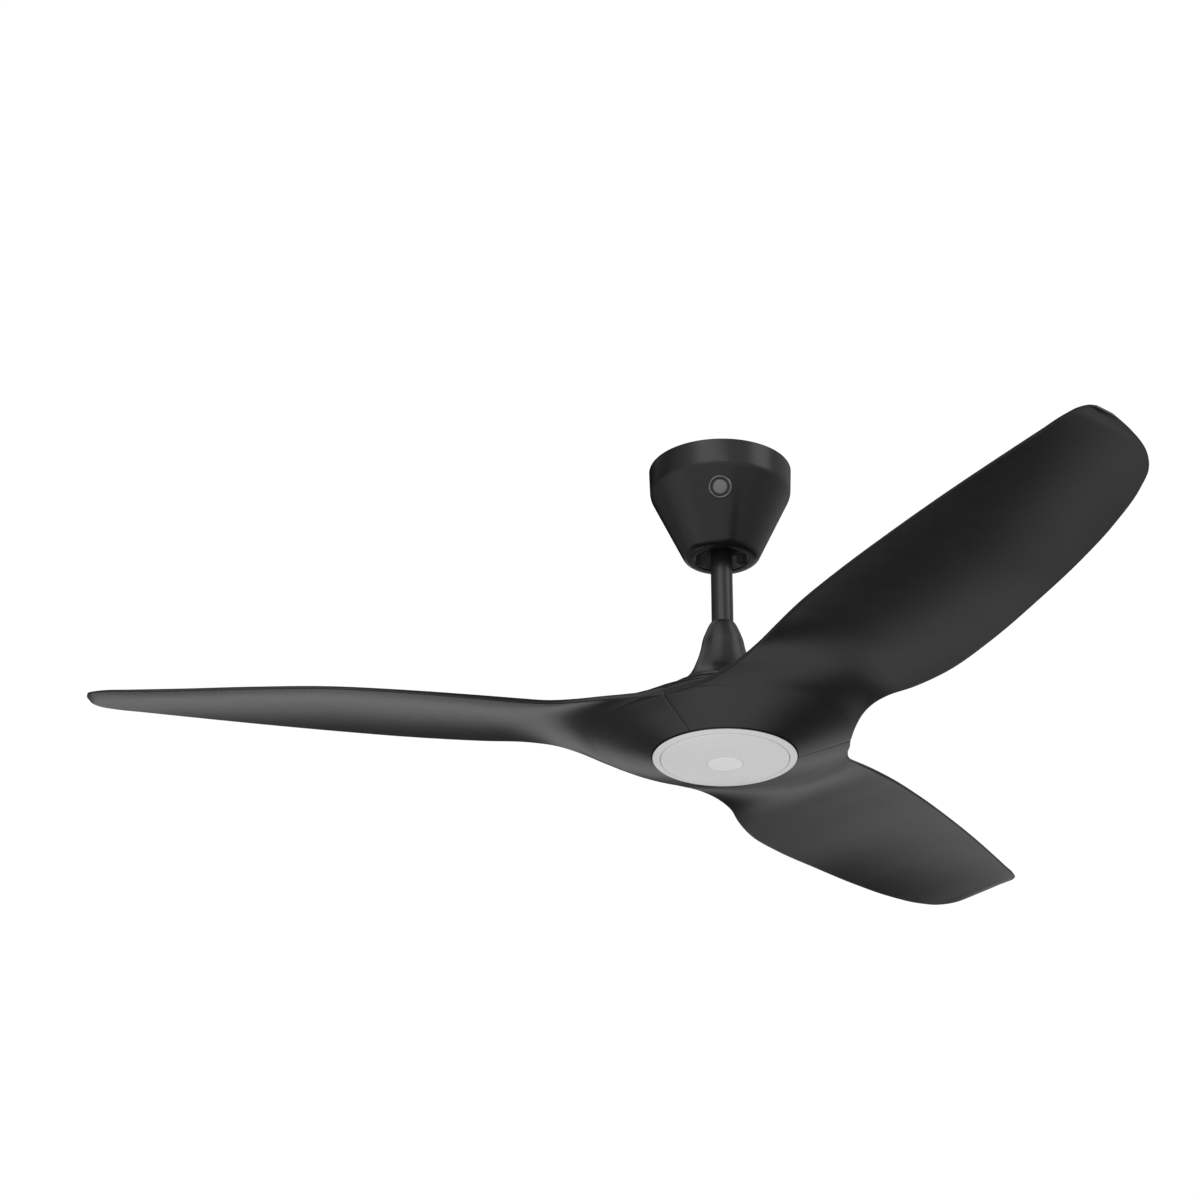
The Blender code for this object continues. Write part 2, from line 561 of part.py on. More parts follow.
# Rows from the hub to the tip, in the airfoil's own axes: x runs out from the fan's axis, the leading edge is at
# -y and the trailing edge at +y, and z is above the light's rim plane. Each row holds the underside's leading
# edge (x, y, z), its trailing edge (x, y, z), half the angle of the arc that the row follows across the airfoil,
# how far the middle is crowned upward, and the thickness at the edges and in the middle.
AIRFOIL_ROWS = [
    hub_row(70.0, -0.6, 54.0, 54.0),
    hub_row(84.0, 3.8, 48.0, 48.0),
    hub_row(98.0, 8.4, 38.6, 38.6),
    hub_row(110.0, 12.4, 27.6, 29.0),
    hub_row(120.0, 16.0, 16.0, 22.0),
    hub_row(126.5, 18.4, 8.0, 18.5),
    hub_row(129.0, 19.3, 4.0, 17.5),
    (95.7, -94.0, 21.6, 88.8, 101.0, 21.4, 49.0, 0.5, 3.5, 16.4),
    (122.0, -82.0, 27.4, 118.0, 90.9, 23.6, 40.0, 0.5, 3.2, 14.8),
    (147.0, -73.5, 34.8, 147.0, 84.8, 23.0, 32.0, 2.5, 3.0, 13.2),
    (171.0, -69.8, 41.2, 174.0, 84.1, 21.0, 25.0, 5.5, 3.0, 12.0),
    (200.0, -70.6, 45.8, 203.0, 90.5, 19.0, 19.0, 8.5, 3.0, 11.2),
    (250.0, -75.3, 49.4, 250.0, 98.5, 19.6, 12.0, 9.5, 2.8, 10.4),
    (320.0, -76.7, 53.8, 320.0, 100.0, 25.0, 6.0, 8.5, 2.6, 9.6),
    (400.0, -74.0, 59.2, 400.0, 94.3, 32.0, 3.0, 7.5, 2.5, 8.6),
    (480.0, -69.0, 64.7, 480.0, 82.6, 36.4, 1.0, 6.5, 2.4, 7.8),
    (550.0, -62.8, 69.4, 550.0, 67.8, 40.8, 0.0, 5.5, 2.3, 6.8),
    (605.0, -57.3, 73.1, 604.0, 52.6, 47.0, 0.0, 3.5, 2.2, 5.6),
    (636.0, -54.0, 75.2, 630.0, 41.3, 52.0, 0.0, 2.2, 2.1, 4.6),
    (650.0, -50.0, 76.3, 645.5, 26.0, 57.5, 0.0, 1.2, 2.0, 3.6),
    (656.5, -44.0, 76.9, 654.7, 2.0, 66.5, 0.0, 0.5, 2.0, 2.8),
    (658.4, -37.0, 77.0, 658.9, -20.0, 73.5, 0.0, 0.0, 2.0, 2.2),
]
ACROSS = 8


def row_points(row):
    """The row's underside and top points from its leading edge to its trailing edge."""
    lead = Vector(row[0:3])
    trail = Vector(row[3:6])
    half_angle = math.radians(max(row[6], 0.0))
    crown, edge, middle = row[7:10]
    along = trail - lead
    outward = Vector((along.y, -along.x, 0.0)).normalized()
    under = []
    over = []
    for step in range(ACROSS + 1):
        place = 2.0 * step / ACROSS - 1.0
        share = (place + 1.0) / 2.0
        bulge = 0.0
        if half_angle > 1e-4:
            arc_radius = along.xy.length / 2 / math.sin(half_angle)
            share = (math.sin(place * half_angle) / math.sin(half_angle) + 1.0) / 2.0
            bulge = arc_radius * (math.cos(place * half_angle) - math.cos(half_angle))
        fullness = 1.0 - place * place
        point = lead + along * share + outward * bulge
        point.z += crown * fullness
        under.append(point)
        over.append(point + Vector((0.0, 0.0, edge + (middle - edge) * fullness ** 0.7)))
    return under, over


def airfoil_shape():
    """One airfoil as a closed shell of underside, top and rim, before its root is bored."""
    shape = bmesh.new()
    loops = []
    for row in AIRFOIL_ROWS:
        under, over = row_points(row)
        loops.append([shape.verts.new(point) for point in under + over[::-1]])
    for first, second in zip(loops, loops[1:]):
        for step in range(len(first)):
            after = (step + 1) % len(first)
            shape.faces.new((first[step], first[after], second[after], second[step]))
    for loop in (loops[0], loops[-1]):
        for step in range(ACROSS):
            shape.faces.new((loop[step], loop[step + 1], loop[-step - 2], loop[-step - 1]))
    bmesh.ops.triangulate(shape, faces=shape.faces)
    return shape


def airfoil_screw_places():
    """Where the screws go through the flange, as (x, y), all airfoils together."""
    places = []
    for number in range(AIRFOIL_COUNT):
        for offset in AIRFOIL_SCREW_ANGLES:
            angle = FIRST_AIRFOIL_ANGLE + number * AIRFOIL_PITCH_ANGLE + offset
            places.append((AIRFOIL_SCREW_RADIUS * math.cos(angle), AIRFOIL_SCREW_RADIUS * math.sin(angle)))
    return places


def make_airfoils():
    """Three equal airfoils whose roots close into the hub, each held by two screws."""
    first = add_piece("airfoil_1", finish_mesh("airfoil", airfoil_shape()), BLACK_PLASTIC, RIM_PLANE)
    bore = [(0.0, -20.0), (HUB_BORE, -20.0), (HUB_BORE, POCKET_FLOOR), (POCKET_RADIUS, POCKET_FLOOR),
            (POCKET_RADIUS, 90.0), (0.0, 90.0)]
    cuts = [turned_shape(bore, 72)]
    for angle in AIRFOIL_SCREW_ANGLES:
        x = AIRFOIL_SCREW_RADIUS * math.cos(angle)
        y = AIRFOIL_SCREW_RADIUS * math.sin(angle)
        cuts.append(bar_shape(2.5, (x, y, 8.4), (x, y, 30.0)))
    combine(first, cuts, "DIFFERENCE")
    first.data.shade_smooth()
    first.data.set_sharp_from_angle(angle=math.radians(35.0))
    for number in range(AIRFOIL_COUNT):
        piece = first
        if number > 0:
            piece = add_piece("airfoil_%d" % (number + 1), first.data, BLACK_PLASTIC, RIM_PLANE)
        piece.rotation_euler.z = FIRST_AIRFOIL_ANGLE + number * AIRFOIL_PITCH_ANGLE
    for number, (x, y) in enumerate(airfoil_screw_places()):
        place = Matrix.Translation((x * MM, y * MM, (RIM_PLANE + FLANGE_TOP + GAP) * MM))
        screw("airfoil_screw_%d" % (number + 1), place)


# ---------------------------------------------------------------- light

def board_screw_places():
    """Where the LED board's three screws stand, as (x, y)."""
    angles = [math.radians(30.0 + 120.0 * number) for number in range(3)]
    return [(BOARD_SCREW_RADIUS * math.cos(angle), BOARD_SCREW_RADIUS * math.sin(angle)) for angle in angles]


def face_height(radius):
    """Height of the shallow dome that the faces of the ring and the lens share."""
    rise = FACE_RIM - FACE_MIDDLE
    sphere = (RING_RADIUS ** 2 + rise ** 2) / (2 * rise)
    return FACE_MIDDLE + sphere - math.sqrt(sphere ** 2 - radius ** 2)


def make_light():
    """Mounting plate, LED board, ring, domed lens and centre window, from the top down."""
    plate = [(SHAFT_RADIUS + GAP, 8.0), (SHAFT_RADIUS + GAP, 6.6), (71.0, 6.6), (71.0, 9.4), (16.5, 9.4),
             (14.0, 11.4), (SHAFT_RADIUS + GAP, 11.4)]
    light_plate = turned("light_plate", plate, CAST_ALLOY, RIM_PLANE)
    for number, (x, y) in enumerate(board_screw_places()):
        place = Matrix.Translation((x * MM, y * MM, (RIM_PLANE + 4.0) * MM)) @ Matrix.Rotation(math.pi, 4, "X")
        screw("led_board_screw_%d" % (number + 1), place, head=(2.6, 1.5), shank=(1.5, 5.4))
    screw_holes = [bar_shape(1.8, (x, y, 0.0), (x, y, 20.0)) for x, y in board_screw_places()]
    combine(light_plate, screw_holes, "DIFFERENCE")
    board = turned("led_board", [(0.0, 4.4), (62.0, 4.4), (62.0, 6.2), (0.0, 6.2)], BOARD_WHITE, RIM_PLANE)
    joins = []
    for number in range(LED_COUNT):
        angle = math.radians(50.0) + 2.0 * math.pi * number / LED_COUNT
        x = LED_CIRCLE * math.cos(angle)
        y = LED_CIRCLE * math.sin(angle)
        joins.append(box_shape((x - 2.5, y - 2.5, 3.4), (x + 2.5, y + 2.5, 5.0)))
    combine(board, joins, "UNION")
    combine(board, [bar_shape(1.8, (x, y, 0.0), (x, y, 20.0)) for x, y in board_screw_places()], "DIFFERENCE")

    ring = [(66.4, 2.0), (66.4, face_height(66.4)), (70.6, face_height(70.6)), (73.2, face_height(73.2)),
            (RING_RADIUS, -0.2), (RING_RADIUS, 12.6), (71.4, 12.6), (71.4, 2.0)]
    turned("light_ring", ring, RING_WHITE, RIM_PLANE, FINE)

    face = [(radius, face_height(radius)) for radius in (18.6, 36.0, 52.0, LENS_RADIUS - 0.8)]
    inside = [(61.5, 3.8), (58.0, -0.6), (40.0, -3.9), (18.6, -5.4)]
    lens = face + [(LENS_RADIUS, -2.0), (LENS_RADIUS, 2.3), (69.8, 2.3), (69.8, 3.8)] + inside
    turned("light_lens", lens, LENS_WHITE, RIM_PLANE, FINE)
    window = [(0.0, -8.5), (11.0, -8.4), (17.3, -8.1), (WINDOW_RADIUS, -7.5), (WINDOW_RADIUS, -4.8), (7.5, -4.8),
              (7.5, 3.0), (5.0, 4.1), (0.0, 4.1)]
    turned("centre_window", window, LENS_WHITE, RIM_PLANE)


def make_controller():
    """Annular motor controller board over the light plate, with its larger components."""
    outline = [(24.0, 10.2), (60.0, 10.2), (60.0, 11.8), (24.0, 11.8)]
    board = turned("controller_board", outline, BOARD_GREEN, RIM_PLANE)
    parts = [bar_shape(5.0, (34.0, 8.0, 11.0), (34.0, 8.0, 15.2), 12),
             bar_shape(5.0, (34.0, -6.0, 11.0), (34.0, -6.0, 15.2), 12)]
    for x, y, half_x, half_y, top in ((-38.0, 12.0, 7.0, 5.0, 14.8), (-36.0, -16.0, 5.0, 6.0, 14.4),
                                      (4.0, 42.0, 8.0, 4.0, 15.0), (-6.0, -42.0, 6.0, 6.0, 13.6)):
        parts.append(box_shape((x - half_x, y - half_y, 11.0), (x + half_x, y + half_y, top)))
    combine(board, parts, "UNION")


make_bracket()
make_canopy()
make_canopy_screws()
make_badge()
make_hanger()
make_coupler()
make_leads()
make_covers()
make_shaft()
make_stator()
make_rotor()
make_bearing("lower")
make_bearing("upper")
make_airfoils()
make_light()
make_controller()
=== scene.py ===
"""Studio scene of a ceiling fan with a light: three black airfoils on a motor, hung by a downrod.

Lengths are millimetres in the tables and metres in the meshes. Heights of the canopy and the top of the rod
are measured from the ceiling plane. Heights of the covers, the airfoils and the light are measured from the
light's rim plane.
"""
import math

import bmesh
import bpy
from mathutils import Euler, Matrix, Vector


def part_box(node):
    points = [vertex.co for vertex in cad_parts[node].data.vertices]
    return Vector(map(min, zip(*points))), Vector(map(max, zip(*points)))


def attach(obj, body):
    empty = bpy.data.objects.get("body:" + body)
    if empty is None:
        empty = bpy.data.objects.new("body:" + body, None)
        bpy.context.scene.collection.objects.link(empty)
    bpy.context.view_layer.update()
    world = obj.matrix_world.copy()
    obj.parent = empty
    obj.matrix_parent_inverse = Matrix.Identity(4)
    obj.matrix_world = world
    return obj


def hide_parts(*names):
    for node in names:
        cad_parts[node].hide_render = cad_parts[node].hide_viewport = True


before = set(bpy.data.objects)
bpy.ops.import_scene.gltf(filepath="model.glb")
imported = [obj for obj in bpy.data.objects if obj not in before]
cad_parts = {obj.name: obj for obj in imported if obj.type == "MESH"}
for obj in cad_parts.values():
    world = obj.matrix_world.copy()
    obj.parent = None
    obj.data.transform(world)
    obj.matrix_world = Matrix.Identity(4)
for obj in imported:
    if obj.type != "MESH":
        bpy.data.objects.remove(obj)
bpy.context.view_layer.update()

MM = 0.001
TINY = 1e-6
WHITE = (1.0, 1.0, 1.0, 1.0)
# height of the light's rim plane, measured from the ceiling plane
RIM_PLANE = -330.0
# segments around a turned piece
FINE = 192
MEDIUM = 96
SMALL = 24
# faces that meet at more than this angle keep a crisp edge
SHARP_ANGLE = math.radians(32.0)


# ---------------------------------------------------------------- materials

# the two textures behind the mottle: how fine each is, per metre, and its share
SLOW_SCALE = 26.0
SLOW_SHARE = 0.65
SPECK_SCALE = 420.0
SPECK_SHARE = 0.35
# how pointed an edge is where wear begins and where it is greatest, and how worn that is
WORN_FROM = 0.53
WORN_TO = 0.62
MOST_WORN = 0.8
BUMP_STRENGTH = 0.5
COAT_ROUGHNESS = 0.2
SUBSURFACE_SCALE = 0.004


def new_node(tree, kind, **settings):
    """A shader node with its settings, and its input sockets set by name or number."""
    node = tree.nodes.new(kind)
    sockets = settings.pop("sockets", {})
    for key, value in settings.items():
        setattr(node, key, value)
    for key, value in sockets.items():
        node.inputs[key].default_value = value
    return node


def scaled(colour, factor):
    """A colour made lighter or darker, as RGBA."""
    return tuple(min(1.0, channel * factor) for channel in colour) + (1.0,)


def make_finish(name, colour, roughness, metallic=0.0, grain=0.5, depth=0.01, mottle=0.08, spread=0.05,
                wear=1.35, stretch=(1.0, 1.0, 1.0), coat=0.0, subsurface=0.0):
    """A moulded, painted or metal surface: fine grain, uneven colour and gloss, and paler worn edges.

    grain is the size of the fine texture and depth its height, in millimetres. mottle is how much the colour
    varies, spread how much the roughness does, and wear how much paler a worn edge is. stretch scales the
    texture along each axis: below 1 draws it out, as brushing and turning do.
    """
    material = bpy.data.materials.new(name)
    material.use_nodes = True
    tree = material.node_tree
    link = tree.links.new
    shader = tree.nodes["Principled BSDF"]
    shader.inputs["Metallic"].default_value = metallic
    shader.inputs["Coat Weight"].default_value = coat
    shader.inputs["Coat Roughness"].default_value = COAT_ROUGHNESS
    shader.inputs["Subsurface Weight"].default_value = subsurface
    shader.inputs["Subsurface Scale"].default_value = SUBSURFACE_SCALE

    place = new_node(tree, "ShaderNodeTexCoord")
    pull = new_node(tree, "ShaderNodeMapping", sockets={"Scale": stretch})
    link(place.outputs["Object"], pull.inputs["Vector"])

    fine = new_node(tree, "ShaderNodeTexNoise", sockets={"Scale": 1.0 / (grain * MM), "Detail": 3.0})
    slow = new_node(tree, "ShaderNodeTexNoise",
                    sockets={"Scale": SLOW_SCALE, "Detail": 4.0, "Roughness": 0.6})
    speck = new_node(tree, "ShaderNodeTexNoise", sockets={"Scale": SPECK_SCALE, "Detail": 2.0})
    for texture in (fine, slow, speck):
        link(pull.outputs["Vector"], texture.inputs["Vector"])

    bump = new_node(tree, "ShaderNodeBump", sockets={"Strength": BUMP_STRENGTH, "Distance": depth * MM})
    link(fine.outputs["Fac"], bump.inputs["Height"])
    link(bump.outputs["Normal"], shader.inputs["Normal"])

    specks = new_node(tree, "ShaderNodeMath", operation="MULTIPLY", sockets={1: SPECK_SHARE})
    link(speck.outputs["Fac"], specks.inputs[0])
    mixed = new_node(tree, "ShaderNodeMath", operation="MULTIPLY_ADD", sockets={1: SLOW_SHARE})
    link(slow.outputs["Fac"], mixed.inputs[0])
    link(specks.outputs["Value"], mixed.inputs[2])
    tint = new_node(tree, "ShaderNodeMix", data_type="RGBA")
    tint.inputs[6].default_value = scaled(colour, 1.0 - mottle)
    tint.inputs[7].default_value = scaled(colour, 1.0 + mottle)
    link(mixed.outputs["Value"], tint.inputs[0])

    geometry = new_node(tree, "ShaderNodeNewGeometry")
    edges = new_node(tree, "ShaderNodeMapRange",
                     sockets={"From Min": WORN_FROM, "From Max": WORN_TO, "To Max": MOST_WORN})
    link(geometry.outputs["Pointiness"], edges.inputs["Value"])
    rubbed = new_node(tree, "ShaderNodeMath", operation="MULTIPLY")
    link(edges.outputs["Result"], rubbed.inputs[0])
    link(speck.outputs["Fac"], rubbed.inputs[1])
    worn = new_node(tree, "ShaderNodeMix", data_type="RGBA")
    worn.inputs[7].default_value = scaled(colour, wear)
    link(rubbed.outputs["Value"], worn.inputs[0])
    link(tint.outputs[2], worn.inputs[6])
    link(worn.outputs[2], shader.inputs["Base Color"])

    gloss = new_node(tree, "ShaderNodeMapRange",
                     sockets={"To Min": roughness - spread, "To Max": roughness + spread})
    link(mixed.outputs["Value"], gloss.inputs["Value"])
    link(gloss.outputs["Result"], shader.inputs["Roughness"])
    return material


# painted and moulded black
BLACK_PAINT = make_finish("satin_black_paint", (0.011, 0.011, 0.0113), 0.27, grain=0.35, depth=0.006)
COVER_BLACK = make_finish("satin_black_cover", (0.02, 0.02, 0.0205), 0.26, grain=0.35, depth=0.006)
AIRFOIL_BLACK = make_finish("matt_black_airfoil", (0.007, 0.007, 0.0073), 0.26, grain=0.45, depth=0.008)
BLACK_SCREW = make_finish("blackened_screw", (0.02, 0.02, 0.021), 0.4, 0.6, grain=0.3, wear=2.2)

# metals
BRACKET_GREY = make_finish("dark_zinc_bracket", (0.17, 0.17, 0.173), 0.42,
                           grain=0.9, depth=0.02, mottle=0.12)
BADGE_METAL = make_finish("brushed_badge", (0.22, 0.22, 0.224), 0.28, 1.0,
                          grain=0.4, depth=0.004, stretch=(0.06, 1.0, 1.0))
ZINC = make_finish("zinc_plated_steel", (0.5, 0.51, 0.53), 0.36, 1.0, grain=1.4, mottle=0.18, spread=0.1)
BRIGHT_STEEL = make_finish("ground_steel", (0.58, 0.58, 0.6), 0.24, 1.0,
                           grain=0.25, stretch=(1.0, 1.0, 8.0))
CAST_ALLOY = make_finish("die_cast_alloy", (0.42, 0.43, 0.45), 0.5, 0.9, grain=1.1, depth=0.05, mottle=0.14)
LAMINATION = make_finish("stacked_laminations", (0.16, 0.16, 0.17), 0.45, 0.8,
                         grain=0.5, depth=0.06, stretch=(0.02, 0.02, 1.0))
COPPER = make_finish("enamelled_copper", (0.55, 0.2, 0.07), 0.3, 0.9,
                     grain=0.6, depth=0.08, stretch=(0.1, 0.1, 1.0), coat=0.5)
MAGNET = make_finish("sintered_magnet", (0.06, 0.06, 0.065), 0.45, 0.5, grain=0.8, depth=0.02)

# hidden plastics and boards
NYLON = make_finish("natural_nylon", (0.62, 0.61, 0.56), 0.46, grain=0.8, subsurface=0.1)
SLEEVE = make_finish("lead_sleeve", (0.03, 0.03, 0.03), 0.6, grain=0.5, depth=0.05, stretch=(1.0, 1.0, 0.4))
BOARD_GREEN = make_finish("green_circuit_board", (0.015, 0.13, 0.05), 0.4, grain=1.2, mottle=0.3, coat=0.4)
BOARD_WHITE = make_finish("white_light_board", (0.7, 0.7, 0.68), 0.42, grain=0.9, coat=0.3)

# the light's pale plastics
RING_WHITE = make_finish("ring_plastic", (0.82, 0.82, 0.825), 0.36,
                         grain=0.5, depth=0.004, mottle=0.03, wear=1.1)
LENS_WHITE = make_finish("lens_plastic", (0.84, 0.84, 0.845), 0.3,
                         grain=0.6, depth=0.003, mottle=0.025, wear=1.05, subsurface=0.15)
WINDOW_WHITE = make_finish("window_plastic", (0.97, 0.97, 0.975), 0.26,
                           grain=0.5, depth=0.003, mottle=0.02, wear=1.03, subsurface=0.15)

CAD_FINISHES = {
    "ceiling_bracket": BRACKET_GREY, "canopy_screw_1": BLACK_SCREW, "canopy_screw_2": BLACK_SCREW,
    "ball_liner": NYLON, "hanger_ball": CAST_ALLOY, "ball_pin": BRIGHT_STEEL, "motor_leads": SLEEVE,
    "rod_coupler": CAST_ALLOY, "clevis_pin": BRIGHT_STEEL, "hairpin_clip": ZINC,
    "rod_set_screw": BRIGHT_STEEL, "motor_shaft": BRIGHT_STEEL, "shaft_nut": ZINC,
    "stator_core": LAMINATION, "stator_windings": COPPER, "rotor_base": CAST_ALLOY, "rotor_lid": CAST_ALLOY,
    "magnet_ring": MAGNET, "light_plate": CAST_ALLOY, "led_board": BOARD_WHITE,
    "controller_board": BOARD_GREEN,
}
# a node that isn't named above belongs to a bearing, is a screw, or is hidden by a finer piece below
for node_name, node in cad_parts.items():
    finish = CAD_FINISHES.get(node_name)
    if finish is None and "bearing" in node_name:
        finish = BRIGHT_STEEL
    if finish is None and "screw" in node_name:
        finish = ZINC
    if finish is None:
        finish = BLACK_PAINT
    node.data.materials.clear()
    node.data.materials.append(finish)


# ---------------------------------------------------------------- mesh helpers

# the most of an outline's side that one rounded corner may take up
CORNER_SHARE = 0.49


def add_piece(name, shape, finish, body, node, height=0.0):
    """Link a bmesh in millimetres as a metre mesh that rides on a body and stands for a CAD node."""
    bmesh.ops.recalc_face_normals(shape, faces=shape.faces)
    bmesh.ops.translate(shape, vec=(0.0, 0.0, height), verts=shape.verts)
    bmesh.ops.scale(shape, vec=(MM, MM, MM), verts=shape.verts)
    mesh = bpy.data.meshes.new(name)
    shape.to_mesh(mesh)
    shape.free()
    mesh.shade_smooth()
    mesh.set_sharp_from_angle(angle=SHARP_ANGLE)
    piece = bpy.data.objects.new("fine_" + name, mesh)
    bpy.context.scene.collection.objects.link(piece)
    mesh.materials.append(finish)
    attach(piece, body)
    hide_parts(node)
    return piece


def rounded(outline, steps=6):
    """A closed outline of (radius, height, corner radius) points with its corners turned into arcs."""
    points = []
    count = len(outline)
    for index, (radius, height, corner) in enumerate(outline):
        here = Vector((radius, height))
        if corner <= 0.0:
            points.append(here)
            continue
        before = Vector(outline[index - 1][:2]) - here
        after = Vector(outline[(index + 1) % count][:2]) - here
        half = before.angle(after) / 2.0
        reach = min(corner / math.tan(half), before.length * CORNER_SHARE, after.length * CORNER_SHARE)
        size = reach * math.tan(half)
        middle = here + (before.normalized() + after.normalized()).normalized() * (size / math.sin(half))
        start = here + before.normalized() * reach - middle
        turn = start.angle_signed(here + after.normalized() * reach - middle)
        for step in range(steps + 1):
            swing = -turn * step / steps
            rotated = Vector((start.x * math.cos(swing) - start.y * math.sin(swing),
                              start.x * math.sin(swing) + start.y * math.cos(swing)))
            points.append(middle + rotated)
    return [(max(point.x, 0.0), point.y) for point in points]


def smooth_run(points, steps=6):
    """More points along a smooth curve through the given (radius, height) points."""
    run = []
    for index in range(len(points) - 1):
        a = Vector(points[max(index - 1, 0)])
        b = Vector(points[index])
        c = Vector(points[index + 1])
        d = Vector(points[min(index + 2, len(points) - 1)])
        for step in range(steps):
            t = step / steps
            run.append(0.5 * ((2 * b) + (c - a) * t + (2 * a - 5 * b + 4 * c - d) * t * t
                              + (3 * b - a - 3 * c + d) * t * t * t))
    run.append(Vector(points[-1]))
    return [tuple(point) for point in run]


def turned(outline, segments=FINE):
    """A closed outline of (radius, height) points turned about Z."""
    shape = bmesh.new()
    rings = []
    for radius, height in outline:
        if radius < TINY:
            rings.append([shape.verts.new((0.0, 0.0, height))] * segments)
            continue
        ring = []
        for step in range(segments):
            angle = 2.0 * math.pi * step / segments
            ring.append(shape.verts.new((radius * math.cos(angle), radius * math.sin(angle), height)))
        rings.append(ring)
    for first, second in zip(rings, rings[1:] + rings[:1]):
        for step in range(segments):
            after = (step + 1) % segments
            corners = list(dict.fromkeys((first[step], first[after], second[after], second[step])))
            if len(corners) > 2:
                shape.faces.new(corners)
    return shape


# ---------------------------------------------------------------- canopy, rod and covers
# Outlines list (radius, height), and a third value where a corner is rounded: its radius.

canopy_outline = rounded([
    (75.6, 0.0, 0.4), (74.6, -27.6, 18.0), (38.9, -103.9, 15.0), (28.2, -104.6, 0.9),
    (28.6, -102.5, 0.6), (37.6, -101.6, 12.0), (72.8, -28.0, 16.0), (73.8, 0.0, 0.4)], 10)
canopy = add_piece("canopy", turned(canopy_outline), BLACK_PAINT, "ceiling_side", "canopy")

ROD_RADIUS = 11.4
ROD_BORE = 9.4
ROD_TOP = -36.0
ROD_BOTTOM = RIM_PLANE + 98.6
ROD_CORNER = 0.3
rod_outline = rounded([(ROD_BORE, ROD_TOP, ROD_CORNER), (ROD_BORE, ROD_BOTTOM, ROD_CORNER),
                       (ROD_RADIUS, ROD_BOTTOM, ROD_CORNER), (ROD_RADIUS, ROD_TOP, ROD_CORNER)], 3)
rod = add_piece("downrod", turned(rod_outline, MEDIUM), COVER_BLACK, "hanging_frame", "downrod")

bell_outside = smooth_run([(12.6, 151.0), (14.6, 148.0), (18.3, 139.5), (21.4, 130.5), (23.5, 120.0),
                           (27.6, 107.0), (33.8, 93.0), (41.0, 83.6), (50.0, 75.4), (61.1, 69.3)])
bell_inside = [(61.0, 67.7), (48.6, 73.6), (32.2, 92.2), (21.6, 120.0), (16.4, 139.2), (11.8, 148.8),
               (11.8, 150.6)]
bell = add_piece("bell_cover", turned(bell_outside + bell_inside), COVER_BLACK, "hanging_frame",
                 "bell_cover", RIM_PLANE)

cover_outside = smooth_run([(61.2, 66.9), (66.0, 62.6), (75.0, 57.4), (88.0, 51.5), (101.0, 45.9)])
cover_inside = [(20.8, 64.6), (57.0, 64.6), (74.0, 55.2), (87.0, 49.4), (100.4, 44.2), (100.9, 44.6)]
cover_outline = cover_inside + cover_outside[::-1] + [(20.8, 67.2)]
cover = add_piece("motor_cover", turned(cover_outline), COVER_BLACK, "hanging_frame",
                  "motor_cover", RIM_PLANE)


# ---------------------------------------------------------------- badge

# the canopy's cone narrows by this much over this drop, and the badge leans with it
CONE_INSET = 27.8
CONE_DROP = 59.8
BADGE_RADIUS = 12.0
BADGE_HALF_THICKNESS = 1.0
# the groove between the badge's rim and its centre; faces further back than the last value are its back
GROOVE_INNER = 7.7
GROOVE_OUTER = 10.0
GROOVE_LOWEST = -0.5

badge_outline = rounded([
    (0.0, 0.0, 0.0), (BADGE_RADIUS, 0.0, 0.2), (BADGE_RADIUS, 1.4, 0.5), (11.3, 2.0, 0.3), (10.5, 1.9, 0.3),
    (10.1, 1.1, 0.2), (7.6, 1.1, 0.2), (7.2, 1.7, 0.3), (5.0, 1.9, 0.0), (0.0, 2.0, 0.0)], 3)
badge_low, badge_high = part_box("canopy_badge")
badge_middle = (Vector(badge_low) + Vector(badge_high)) / 2.0
badge_slope = math.atan2(CONE_INSET, CONE_DROP)
badge_out = Vector((0.0, -math.cos(badge_slope), -math.sin(badge_slope)))
badge_turn = Matrix.Rotation(math.pi / 2 + badge_slope, 4, "X")
badge_place = Matrix.Translation(badge_middle / MM - badge_out * BADGE_HALF_THICKNESS)
badge_shape = turned(badge_outline)
bmesh.ops.transform(badge_shape, verts=badge_shape.verts, matrix=badge_place @ badge_turn)
badge = add_piece("badge", badge_shape, BADGE_METAL, "ceiling_side", "canopy_badge")
# the groove is filled with black enamel
badge.data.materials.append(BLACK_PAINT)
for face in badge.data.polygons:
    across = face.center - badge_middle
    out = across.dot(badge_out)
    reach = (across - badge_out * out).length
    if GROOVE_INNER * MM < reach < GROOVE_OUTER * MM and out > GROOVE_LOWEST * MM:
        face.material_index = 1


# ---------------------------------------------------------------- airfoils
# An airfoil is modelled in its own axes: x runs out from the fan's axis, the leading edge is at -y and the
# trailing edge at +y.

FIRST_AIRFOIL_ANGLE = math.radians(62.8)
AIRFOIL_SPACING = math.radians(120.0)
# a little under 60 degrees, which leaves the thin seams between the roots
HUB_HALF_ANGLE = math.radians(59.94)
LAST_HUB_ROW = 6
SPAN_STEPS = 6
NOSE_STEPS = 4
MIDDLE_STEPS = 36
# share of the cosine spacing, which crowds a row's points towards its edges
EDGE_CROWDING = 0.35
# below this a row is straight, in radians
STRAIGHT_ANGLE = 1e-4
# how fast the thickness grows from a row's edges to its middle
THICKNESS_POWER = 0.7
# how quickly the crease between hub and airfoil fades from a row's ends to its middle
CORNER_POWER = 6
# corner radius of the seams' edges, and the share of a row over which it grows into a round nose
SEAM_CORNER = 0.35
NOSE_GROWTH = 0.2
# the most of the way to the next point that a rounded edge may take up
EDGE_REACH = 0.95
